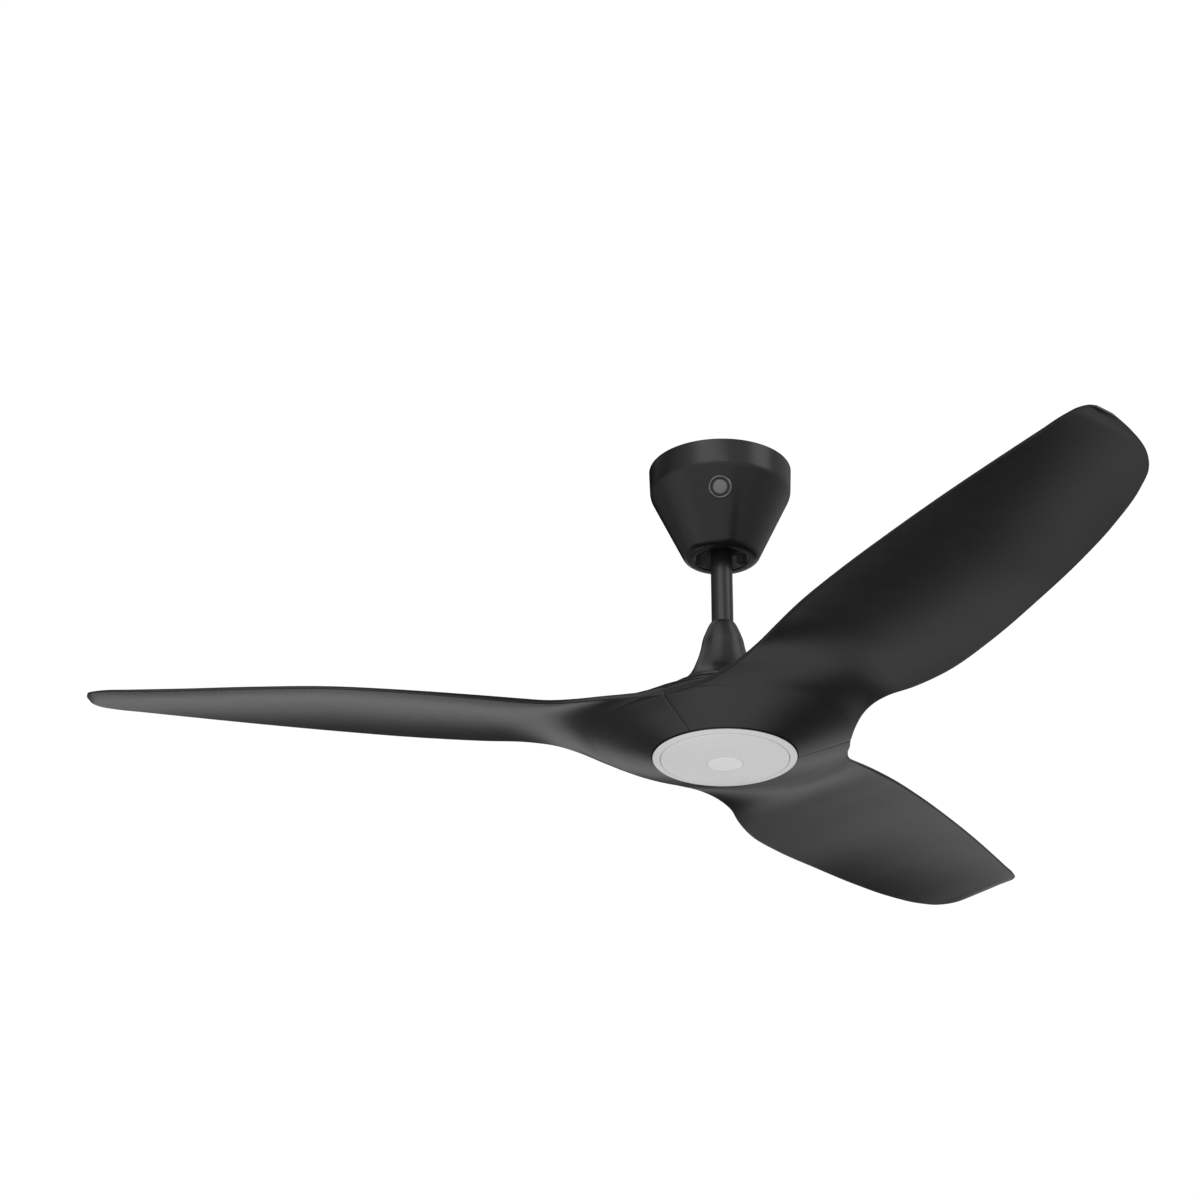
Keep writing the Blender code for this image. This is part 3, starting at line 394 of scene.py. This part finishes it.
# the light's bore and the motor's pocket, which are cut out of the roots
HUB_BORE = 74.7
BORE_RELIEF = 0.4
RELIEF_TOP = 1.1
RELIEF_END = 1.6
POCKET_RADIUS = 102.4
POCKET_FLOOR = 15.7
CUT_BOTTOM = -20.0
CUT_TOP = 90.0
# the screw holes of one root
SCREW_CIRCLE = 90.0
SCREW_ANGLES = (math.radians(-30.0), math.radians(30.0))
SCREW_HOLE_RADIUS = 2.5
SCREW_HOLE_FLOOR = 8.4
SCREW_HOLE_TOP = 30.0


def hub_row(radius, bottom, edge, middle):
    """A row of the airfoil's root that lies on a circle about the fan's axis."""
    x = radius * math.cos(HUB_HALF_ANGLE)
    y = radius * math.sin(HUB_HALF_ANGLE)
    return (x, -y, bottom, x, y, bottom, math.degrees(HUB_HALF_ANGLE), 0.0, edge, middle)


# Rows from the hub to the tip: the underside's leading edge (x, y, z) and trailing edge (x, y, z), half the
# angle of the arc that the row follows, how far the middle is crowned, and the thickness at the edges and in
# the middle. The edges outside the hub began as a curve in space matched to the photo's outlines, and were
# then rounded. The rest is listed as given.
AIRFOIL_ROWS = [
    hub_row(70.0, -0.6, 54.0, 54.0),
    hub_row(84.0, 3.8, 48.0, 48.0),
    hub_row(98.0, 8.4, 38.6, 38.6),
    hub_row(110.0, 12.4, 27.6, 29.0),
    hub_row(120.0, 16.0, 16.0, 22.0),
    hub_row(126.5, 18.4, 8.0, 18.5),
    hub_row(129.0, 19.3, 4.0, 17.5),
    (95.7, -94.0, 21.6, 88.8, 101.0, 21.4, 49.0, 0.5, 3.5, 16.4),
    (122.0, -82.0, 27.4, 118.0, 90.9, 23.6, 40.0, 0.5, 3.2, 14.8),
    (147.0, -73.5, 34.8, 147.0, 84.8, 23.0, 32.0, 2.5, 3.0, 13.2),
    (171.0, -69.8, 41.2, 174.0, 84.1, 21.0, 25.0, 5.5, 3.0, 12.0),
    (200.0, -70.6, 45.8, 203.0, 90.5, 19.0, 19.0, 8.5, 3.0, 11.2),
    (250.0, -75.3, 49.4, 250.0, 98.5, 19.6, 12.0, 9.5, 2.8, 10.4),
    (320.0, -76.7, 53.8, 320.0, 100.0, 25.0, 6.0, 8.5, 2.6, 9.6),
    (400.0, -74.0, 59.2, 400.0, 94.3, 32.0, 3.0, 7.5, 2.5, 8.6),
    (480.0, -69.0, 64.7, 480.0, 82.6, 36.4, 1.0, 6.5, 2.4, 7.8),
    (550.0, -62.8, 69.4, 550.0, 67.8, 40.8, 0.0, 5.5, 2.3, 6.8),
    (605.0, -57.3, 73.1, 604.0, 52.6, 47.0, 0.0, 3.5, 2.2, 5.6),
    (636.0, -54.0, 75.2, 630.0, 41.3, 52.0, 0.0, 2.2, 2.1, 4.6),
    (650.0, -50.0, 76.3, 645.5, 26.0, 57.5, 0.0, 1.2, 2.0, 3.6),
    (656.5, -44.0, 76.9, 654.7, 2.0, 66.5, 0.0, 0.5, 2.0, 2.8),
    (658.4, -37.0, 77.0, 658.9, -20.0, 73.5, 0.0, 0.0, 2.0, 2.2),
]


def places_across():
    """Where the points of a row lie, from -1 at the leading edge to 1 at the trailing edge."""
    places = []
    for step in range(MIDDLE_STEPS + 1):
        crowded = -math.cos(math.pi * step / MIDDLE_STEPS)
        even = 2.0 * step / MIDDLE_STEPS - 1.0
        places.append(crowded * EDGE_CROWDING + even * (1.0 - EDGE_CROWDING))
    return places


def row_points(row):
    """The row's underside points and its thickness at each of them, from leading edge to trailing edge."""
    lead = Vector(row[0:3])
    trail = Vector(row[3:6])
    half_angle = math.radians(row[6])
    crown, edge, middle = row[7:10]
    along = trail - lead
    outward = Vector((along.y, -along.x, 0.0)).normalized()
    under = []
    thickness = []
    for place in places_across():
        share = (place + 1.0) / 2.0
        bulge = 0.0
        if half_angle > STRAIGHT_ANGLE:
            arc_radius = along.xy.length / 2 / math.sin(half_angle)
            share = (math.sin(place * half_angle) / math.sin(half_angle) + 1.0) / 2.0
            bulge = arc_radius * (math.cos(place * half_angle) - math.cos(half_angle))
        fullness = max(0.0, 1.0 - place * place)
        point = lead + along * share + outward * bulge
        point.z += crown * fullness
        under.append(point)
        thickness.append(edge + (middle - edge) * fullness ** THICKNESS_POWER)
    return under, thickness


def between(a, b, c, d, span, share, corner_start, corner_end):
    """A value between b and c on a smooth curve, with one-sided slopes where a corner is wanted."""
    before, here, after = span
    slope_b = ((b - a) / before * here + (c - b) / here * before) / (here + before) * here
    slope_c = ((c - b) / here * after + (d - c) / after * here) / (here + after) * here
    slope_b = slope_b * (1.0 - corner_start) + (c - b) * corner_start
    slope_c = slope_c * (1.0 - corner_end) + (c - b) * corner_end
    t2 = share * share
    t3 = t2 * share
    return ((2 * t3 - 3 * t2 + 1) * b + (t3 - 2 * t2 + share) * slope_b
            + (3 * t2 - 2 * t3) * c + (t3 - t2) * slope_c)


def airfoil_skin():
    """Close rows of (underside point, thickness) from the hub to the tip, each with its row number."""
    rows = [row_points(row) for row in AIRFOIL_ROWS]
    places = places_across()
    skin = []
    last = len(rows) - 1
    for index in range(last):
        for step in range(SPAN_STEPS):
            share = step / SPAN_STEPS
            line = []
            for column, place in enumerate(places):
                corner = abs(place) ** CORNER_POWER
                ends = (corner if index in (0, LAST_HUB_ROW) else 0.0,
                        corner if index + 1 == LAST_HUB_ROW else 0.0)
                quad = [rows[max(index - 1, 0)], rows[index], rows[index + 1], rows[min(index + 2, last)]]
                points = [entry[0][column] for entry in quad]
                thick = [entry[1][column] for entry in quad]
                span = (max((points[1] - points[0]).length, TINY), (points[2] - points[1]).length,
                        max((points[3] - points[2]).length, TINY))
                line.append((between(*points, span, share, *ends), between(*thick, span, share, *ends)))
            skin.append((line, index + share))
    skin.append((list(zip(*rows[last])), float(last)))
    return skin


def airfoil_shape():
    """One airfoil before its root is cut: underside, top and rounded edges."""
    shape = bmesh.new()
    loops = []
    for line, row in airfoil_skin():
        nose = min(1.0, max(0.0, (row - LAST_HUB_ROW) / NOSE_GROWTH))
        first = rounded_edge(line[0], line[1], nose)
        last = rounded_edge(line[-1], line[-2], nose)
        under = [point for point, thick in line][1:-1]
        over = [point + Vector((0.0, 0.0, thick)) for point, thick in line][1:-1]
        loops.append([shape.verts.new(point) for point in first + under + last[::-1] + over[::-1]])
    for before, after in zip(loops, loops[1:]):
        count = len(before)
        for step in range(count):
            beside = (step + 1) % count
            shape.faces.new((before[step], before[beside], after[beside], after[step]))
    for loop in (loops[0], loops[-1]):
        shape.faces.new(loop)
    return shape


def rounded_edge(outer, inner, nose):
    """Points round an edge from the top to the underside, standing in for the edge's two corner points.

    outer and inner are the (underside point, thickness) of the edge and of the next place in. nose runs
    from 0 for a small corner to 1 for a full round nose.
    """
    point, thick = outer
    inward = inner[0] - point
    inward.z = 0.0
    half = thick / 2.0
    reach = min(inward.length * EDGE_REACH, SEAM_CORNER + (half - SEAM_CORNER) * nose)
    inward.normalize()
    rise = min(half, SEAM_CORNER + (half - SEAM_CORNER) * nose)
    across = max((inner[0] - point).xy.length, TINY)
    slope = (inner[0].z - point.z) / across
    top_slope = slope + (inner[1] - thick) / across
    top = []
    under = []
    for step in range(NOSE_STEPS + 1):
        turn = math.pi / 2 * step / NOSE_STEPS
        back = reach * (1.0 - math.sin(turn))
        lift = rise * (1.0 - math.cos(turn))
        top.append(point + inward * back + Vector((0.0, 0.0, thick + top_slope * back - lift)))
        under.append(point + inward * back + Vector((0.0, 0.0, slope * back + lift)))
    return top + under[::-1]


def cut(piece, shapes):
    """Cut millimetre shapes, given in the piece's own axes, from a piece."""
    for number, shape in enumerate(shapes):
        bmesh.ops.recalc_face_normals(shape, faces=shape.faces)
        bmesh.ops.scale(shape, vec=(MM, MM, MM), verts=shape.verts)
        mesh = bpy.data.meshes.new("cutter")
        shape.to_mesh(mesh)
        shape.free()
        cutter = bpy.data.objects.new("cutter", mesh)
        bpy.context.scene.collection.objects.link(cutter)
        step = piece.modifiers.new("cut_%d" % number, "BOOLEAN")
        step.operation = "DIFFERENCE"
        step.solver = "EXACT"
        step.object = cutter
    bpy.context.view_layer.update()
    result = bpy.data.meshes.new_from_object(piece.evaluated_get(bpy.context.evaluated_depsgraph_get()))
    for step in list(piece.modifiers):
        bpy.data.objects.remove(step.object, do_unlink=True)
        piece.modifiers.remove(step)
    piece.data = result
    result.shade_smooth()
    result.set_sharp_from_angle(angle=SHARP_ANGLE)


def root_cutters():
    """The shapes that are cut out of an airfoil's root: the bore with the pocket, and the screw holes."""
    bore = [(0.0, CUT_BOTTOM), (HUB_BORE + BORE_RELIEF, CUT_BOTTOM), (HUB_BORE + BORE_RELIEF, RELIEF_TOP),
            (HUB_BORE, RELIEF_END), (HUB_BORE, POCKET_FLOOR), (POCKET_RADIUS, POCKET_FLOOR),
            (POCKET_RADIUS, CUT_TOP), (0.0, CUT_TOP)]
    cutters = [turned(bore)]
    for angle in SCREW_ANGLES:
        hole = turned([(0.0, SCREW_HOLE_FLOOR), (SCREW_HOLE_RADIUS, SCREW_HOLE_FLOOR),
                       (SCREW_HOLE_RADIUS, SCREW_HOLE_TOP), (0.0, SCREW_HOLE_TOP)], SMALL)
        middle = (SCREW_CIRCLE * math.cos(angle), SCREW_CIRCLE * math.sin(angle), 0.0)
        bmesh.ops.translate(hole, vec=middle, verts=hole.verts)
        cutters.append(hole)
    return cutters


def make_airfoils():
    """Three equal airfoils; the first is built and cut, and the others are turned copies of it."""
    first = add_piece("airfoil_1", airfoil_shape(), AIRFOIL_BLACK, "rotor", "airfoil_1")
    cut(first, root_cutters())
    pieces = [first]
    for number in (2, 3):
        piece = bpy.data.objects.new("fine_airfoil_%d" % number, first.data.copy())
        bpy.context.scene.collection.objects.link(piece)
        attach(piece, "rotor")
        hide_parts("airfoil_%d" % number)
        pieces.append(piece)
    for number, piece in enumerate(pieces):
        turn = Matrix.Rotation(FIRST_AIRFOIL_ANGLE + number * AIRFOIL_SPACING, 4, "Z")
        piece.data.transform(Matrix.Translation((0.0, 0.0, RIM_PLANE * MM)) @ turn)


make_airfoils()


# ---------------------------------------------------------------- light

RING_RADIUS = 74.0
RING_BORE = 66.5
RING_WALL = 71.4
RING_TOP = 12.6
RING_STEP = 2.0
LENS_RADIUS = 65.9
LENS_HOLE = 18.5
# height of the shared dome at the ring's edge and in the middle, and how far the lens stands out at its edge
FACE_RIM = -1.1
FACE_MIDDLE = -8.2
LENS_PROUD = 0.3
# the ring's side wall is masked where it faces outward and lies above this height
MASK_HEIGHT = -0.2
MASK_RADIUS = RING_RADIUS - 0.1
WALL_FACING = 0.9


def face_height(radius):
    """Height of the shallow dome that the faces of the ring and the lens share."""
    rise = FACE_RIM - FACE_MIDDLE
    sphere = (RING_RADIUS ** 2 + rise ** 2) / (2 * rise)
    return FACE_MIDDLE + sphere - math.sqrt(sphere ** 2 - radius ** 2)


ring_face = [(radius, face_height(radius), 0.0) for radius in (68.0, 69.5, 71.0, 72.4)]
ring_outline = rounded([(RING_BORE, RING_STEP, 0.0), (RING_BORE, face_height(RING_BORE), 0.4)] + ring_face +
                       [(RING_RADIUS, face_height(RING_RADIUS), 0.8), (RING_RADIUS, RING_TOP, 0.3),
                        (RING_WALL, RING_TOP, 0.3), (RING_WALL, RING_STEP, 0.0)], 5)
ring = add_piece("light_ring", turned(ring_outline), RING_WHITE, "hanging_frame", "light_ring", RIM_PLANE)
# the side wall, which stands inside the hub, is black above its rounded edge
ring.data.materials.append(BLACK_PAINT)
for face in ring.data.polygons:
    outside = face.normal.xy.length > WALL_FACING and face.center.xy.length > MASK_RADIUS * MM
    if outside and face.center.z > (RIM_PLANE + MASK_HEIGHT) * MM:
        face.material_index = 1

lens_face = [(radius, face_height(radius) - LENS_PROUD * (radius / LENS_RADIUS) ** 2)
             for radius in (18.6, 24.0, 30.0, 36.0, 42.0, 48.0, 54.0, 59.0, 63.0, 64.6)]
lens_edge = [(65.3, -2.8), (65.7, -2.5), (LENS_RADIUS, -2.1), (LENS_RADIUS, -1.0), (LENS_RADIUS, 2.3)]
lens_back = [(69.8, 2.3), (69.8, 3.8), (61.5, 3.8), (58.0, -0.6), (40.0, -3.9), (LENS_HOLE, -5.4)]
lens_outline = [(LENS_HOLE, -7.4)] + lens_face + lens_edge + lens_back
lens = add_piece("light_lens", turned(lens_outline), LENS_WHITE, "hanging_frame", "light_lens", RIM_PLANE)

window_face = [(0.0, -8.5), (9.0, -8.45), (15.0, -8.3), (17.4, -8.1), (18.0, -7.8), (18.2, -7.3)]
window_stem = [(18.2, -4.8), (7.5, -4.8), (7.5, 3.0), (5.0, 4.1), (0.0, 4.1)]
window = add_piece("centre_window", turned(window_face + window_stem, MEDIUM), WINDOW_WHITE, "hanging_frame",
                   "centre_window", RIM_PLANE)


# ---------------------------------------------------------------- floor and fill lights

# Only the camera sees the floor, so it neither lights nor shades the fan. Its own glow keeps it pale.
FLOOR_HEIGHT = -4.5
FLOOR_HALF_SIZE = 30.0
FLOOR_GLOW = 0.4
floor_shape = bmesh.new()
bmesh.ops.create_grid(floor_shape, x_segments=4, y_segments=4, size=FLOOR_HALF_SIZE)
floor_mesh = bpy.data.meshes.new("floor")
floor_shape.to_mesh(floor_mesh)
floor_shape.free()
floor = bpy.data.objects.new("floor", floor_mesh)
bpy.context.scene.collection.objects.link(floor)
floor.location.z = FLOOR_HEIGHT
PALE_FLOOR = make_finish("pale_floor", (0.8, 0.8, 0.8), 0.8, grain=40.0, depth=0.0, mottle=0.01)
floor_shader = PALE_FLOOR.node_tree.nodes["Principled BSDF"]
floor_shader.inputs["Emission Color"].default_value = WHITE
floor_shader.inputs["Emission Strength"].default_value = FLOOR_GLOW
floor_mesh.materials.append(PALE_FLOOR)
for kind in ("visible_diffuse", "visible_glossy", "visible_transmission", "visible_shadow"):
    setattr(floor, kind, False)

# The middle of the fan, which the fill lights face.
TARGET = Vector((0.0, 0.0, -0.28))
# Square softboxes straight above and below: name, elevation, distance, size, radiance.
FILLS = [
    ("top_fill", 90.0, 3.0, 3.0, 1.2),
    ("low_fill", -90.0, 2.2, 2.4, 1.3),
]


def direction(azimuth, elevation):
    """A unit vector to a place around the fan, in degrees. Azimuth 0 is the -Y side and 90 the +X side."""
    a = math.radians(azimuth)
    e = math.radians(elevation)
    return Vector((math.sin(a) * math.cos(e), -math.cos(a) * math.cos(e), math.sin(e)))


def add_fill(name, elevation, distance, size, radiance):
    """A softbox that faces the fan and leaves no reflection of its own."""
    data = bpy.data.lights.new(name, "AREA")
    data.shape = "RECTANGLE"
    data.size = size
    data.size_y = size
    data.energy = radiance * size * size * math.pi
    lamp = bpy.data.objects.new(name, data)
    bpy.context.scene.collection.objects.link(lamp)
    away = direction(0.0, elevation)
    lamp.location = TARGET + away * distance
    lamp.rotation_euler = away.to_track_quat("Z", "Y").to_euler()
    lamp.visible_camera = False
    lamp.visible_glossy = False


for fill in FILLS:
    add_fill(*fill)


# ---------------------------------------------------------------- surroundings

BACKDROP_LEVEL = 1.02
world = bpy.data.worlds.new("studio")
bpy.context.scene.world = world
world.use_nodes = True
sky = world.node_tree
surround = sky.nodes["Background"]
surround.inputs["Color"].default_value = WHITE
toward = new_node(sky, "ShaderNodeTexCoord")

# Soft round lights that surround the fan: azimuth, elevation, the angles from its middle at which each has
# faded out and is full, and its level. A search matched them to the photo's brightness. They were then
# rounded, and some were added or changed one by one.
GLOWS = [
    (5.0, 18.0, 9.0, 5.0, 1.4),
    (-20.0, 24.0, 24.0, 4.0, 1.15),
    (69.0, 25.0, 22.0, 2.0, 1.35),
    (170.0, -69.0, 24.0, 7.0, 0.88),
    (-164.0, -48.0, 10.0, 2.0, 0.75),
    (-13.0, 3.0, 90.0, 16.0, 0.68),
    (86.0, 49.0, 17.0, 12.0, 0.67),
    (-168.0, -5.0, 13.0, 9.0, 0.58),
    (169.0, -14.0, 20.0, 5.0, 0.52),
    (-39.0, 53.0, 23.0, 18.0, 0.52),
    (99.0, 13.0, 87.0, 2.0, 0.39),
    (-123.0, 55.0, 28.0, 23.0, 0.38),
    (-87.0, -21.0, 36.0, 5.0, 0.29),
    (-109.0, -28.0, 69.0, 4.0, 0.21),
]


def sky_glow(azimuth, elevation, outer, inner, level):
    """The strength of a glow that is full inside the inner angle and gone outside the outer one."""
    middle = direction(azimuth, elevation)
    faded = math.cos(math.radians(outer))
    full = math.cos(math.radians(inner))
    facing = new_node(sky, "ShaderNodeVectorMath", operation="DOT_PRODUCT", sockets={1: middle})
    glow = new_node(sky, "ShaderNodeMapRange", interpolation_type="SMOOTHSTEP",
                    sockets={"From Min": faded, "From Max": full, "To Max": level})
    sky.links.new(toward.outputs["Generated"], facing.inputs[0])
    sky.links.new(facing.outputs["Value"], glow.inputs["Value"])
    return glow.outputs["Result"]


strength = sky_glow(*GLOWS[0])
for settings in GLOWS[1:]:
    added = new_node(sky, "ShaderNodeMath", operation="ADD")
    sky.links.new(strength, added.inputs[0])
    sky.links.new(sky_glow(*settings), added.inputs[1])
    strength = added.outputs["Value"]
sky.links.new(strength, surround.inputs["Strength"])

# the camera sees an even pale backdrop in place of the glows
backdrop = new_node(sky, "ShaderNodeBackground", sockets={"Color": WHITE, "Strength": BACKDROP_LEVEL})
ray = new_node(sky, "ShaderNodeLightPath")
seen = new_node(sky, "ShaderNodeMixShader")
sky.links.new(ray.outputs["Is Camera Ray"], seen.inputs[0])
sky.links.new(surround.outputs["Background"], seen.inputs[1])
sky.links.new(backdrop.outputs["Background"], seen.inputs[2])
sky.links.new(seen.outputs["Shader"], sky.nodes["World Output"].inputs["Surface"])


# ---------------------------------------------------------------- camera

# distance in metres from the middle of the light's rim, elevation, and rotation about X, Y and Z
CAMERA_DISTANCE = 3.1741
CAMERA_ELEVATION = math.radians(-23.146)
CAMERA_TURN = (math.radians(116.0654), math.radians(-0.08), math.radians(2.4692))
CAMERA_LENS = 93.11
SENSOR_WIDTH = 36.0
camera_data = bpy.data.cameras.new("camera")
camera_data.lens = CAMERA_LENS
camera_data.sensor_width = SENSOR_WIDTH
camera_data.clip_start = 0.05
camera_data.clip_end = 100.0
camera = bpy.data.objects.new("camera", camera_data)
bpy.context.scene.collection.objects.link(camera)
camera.location = (0.0, -CAMERA_DISTANCE * math.cos(CAMERA_ELEVATION),
                   RIM_PLANE * MM + CAMERA_DISTANCE * math.sin(CAMERA_ELEVATION))
camera.rotation_euler = Euler(CAMERA_TURN, "XYZ")
bpy.context.scene.camera = camera
bpy.context.scene.view_settings.view_transform = "Standard"
